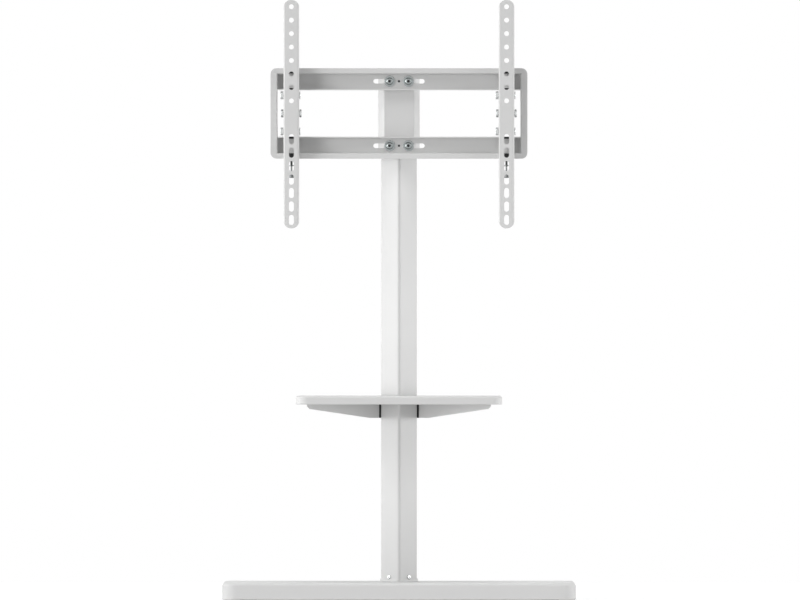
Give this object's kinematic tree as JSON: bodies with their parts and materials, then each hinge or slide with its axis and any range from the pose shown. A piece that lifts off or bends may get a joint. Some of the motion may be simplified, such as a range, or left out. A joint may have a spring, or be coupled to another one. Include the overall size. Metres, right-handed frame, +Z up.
{
  "type": "screen floor stand",
  "caption": "White floor stand for a flat screen: board base, square column set corner first, sliding shelf, pressed rail frame and tilting perforated arms with hooks.",
  "frame": {"origin": "middle of the stand's footprint, on the floor", "axes": "+Z is up, -Y is the side that the screen faces, and +X is to the right when the stand is looked at from that side"},
  "size_m": [0.656, 0.38, 1.116],
  "materials": {
    "white_board": "smooth white lacquer on board",
    "white_coat": "satin white powder coat",
    "white_plastic": "satin moulded white",
    "zinc_plate": "bright zinc plate",
    "dark_steel": "satin black coat",
    "glide_felt": "dense felt"
  },
  "bodies": {
    "stand": {"base_board": "white_board", "base_plate": "dark_steel", "foot_socket": "dark_steel", "foot_trim": "white_plastic", "column_cap": "white_plastic", "column": "white_coat", "head_bracket": "white_coat", "rail_frame": "white_coat", "base_glide_1": "glide_felt", "base_glide_2": "glide_felt", "base_glide_3": "glide_felt", "base_glide_4": "glide_felt", "base_bolt_1": "zinc_plate", "base_bolt_2": "zinc_plate", "base_bolt_3": "zinc_plate", "base_bolt_4": "zinc_plate", "column_foot_screw_1": "zinc_plate", "column_foot_screw_2": "zinc_plate", "column_foot_screw_3": "zinc_plate", "column_foot_screw_4": "zinc_plate", "head_screw_1": "zinc_plate", "head_screw_2": "zinc_plate", "head_screw_3": "zinc_plate", "head_screw_4": "zinc_plate", "frame_washer_1": "zinc_plate", "frame_washer_2": "zinc_plate", "frame_washer_3": "zinc_plate", "frame_washer_4": "zinc_plate", "frame_bolt_1": "zinc_plate", "frame_bolt_2": "zinc_plate", "frame_bolt_3": "zinc_plate", "frame_bolt_4": "zinc_plate"},
    "shelf": {"shelf_board": "white_board", "shelf_bracket": "white_coat", "shelf_screw_1": "zinc_plate", "shelf_screw_2": "zinc_plate", "shelf_screw_3": "zinc_plate", "shelf_screw_4": "zinc_plate", "clamp_plate_1": "dark_steel", "clamp_plate_2": "dark_steel", "clamp_screw_1": "zinc_plate", "clamp_screw_2": "zinc_plate"},
    "left_hook": {"left_rail_hook": "white_coat", "left_pivot_bolt": "zinc_plate", "left_pivot_nut": "zinc_plate", "left_upper_tilt_bolt": "zinc_plate", "left_upper_tilt_nut": "zinc_plate", "left_lower_tilt_bolt": "zinc_plate", "left_lower_tilt_nut": "zinc_plate"},
    "left_arm": {"left_arm": "white_coat"},
    "left_safety_screw": {"left_safety_screw": "zinc_plate"},
    "right_hook": {"right_rail_hook": "white_coat", "right_pivot_bolt": "zinc_plate", "right_pivot_nut": "zinc_plate", "right_upper_tilt_bolt": "zinc_plate", "right_upper_tilt_nut": "zinc_plate", "right_lower_tilt_bolt": "zinc_plate", "right_lower_tilt_nut": "zinc_plate"},
    "right_arm": {"right_arm": "white_coat"},
    "right_safety_screw": {"right_safety_screw": "zinc_plate"}
  },
  "joints": [
    {"name": "shelf_height", "type": "slide", "parent": "stand", "child": "shelf", "axis": [0, 0, 1], "range_m": [-0.15, 0.15]},
    {"name": "left_hook_slide", "type": "slide", "parent": "stand", "child": "left_hook", "axis": [1, 0, 0], "range_m": [-0.012, 0.15]},
    {"name": "left_arm_tilt", "type": "hinge", "parent": "left_hook", "child": "left_arm", "pos_m": [-0.2, -0.01608, 0.905], "axis": [1, 0, 0], "range_deg": [-5, 12]},
    {"name": "left_safety_screw_slide", "type": "slide", "parent": "left_hook", "child": "left_safety_screw", "axis": [0, 0, 1], "range_m": [-0.009, 0]},
    {"name": "right_hook_slide", "type": "slide", "parent": "stand", "child": "right_hook", "axis": [1, 0, 0], "range_m": [-0.15, 0.012]},
    {"name": "right_arm_tilt", "type": "hinge", "parent": "right_hook", "child": "right_arm", "pos_m": [0.2, -0.01608, 0.905], "axis": [1, 0, 0], "range_deg": [-5, 12]},
    {"name": "right_safety_screw_slide", "type": "slide", "parent": "right_hook", "child": "right_safety_screw", "axis": [0, 0, 1], "range_m": [-0.009, 0]}
  ]
}
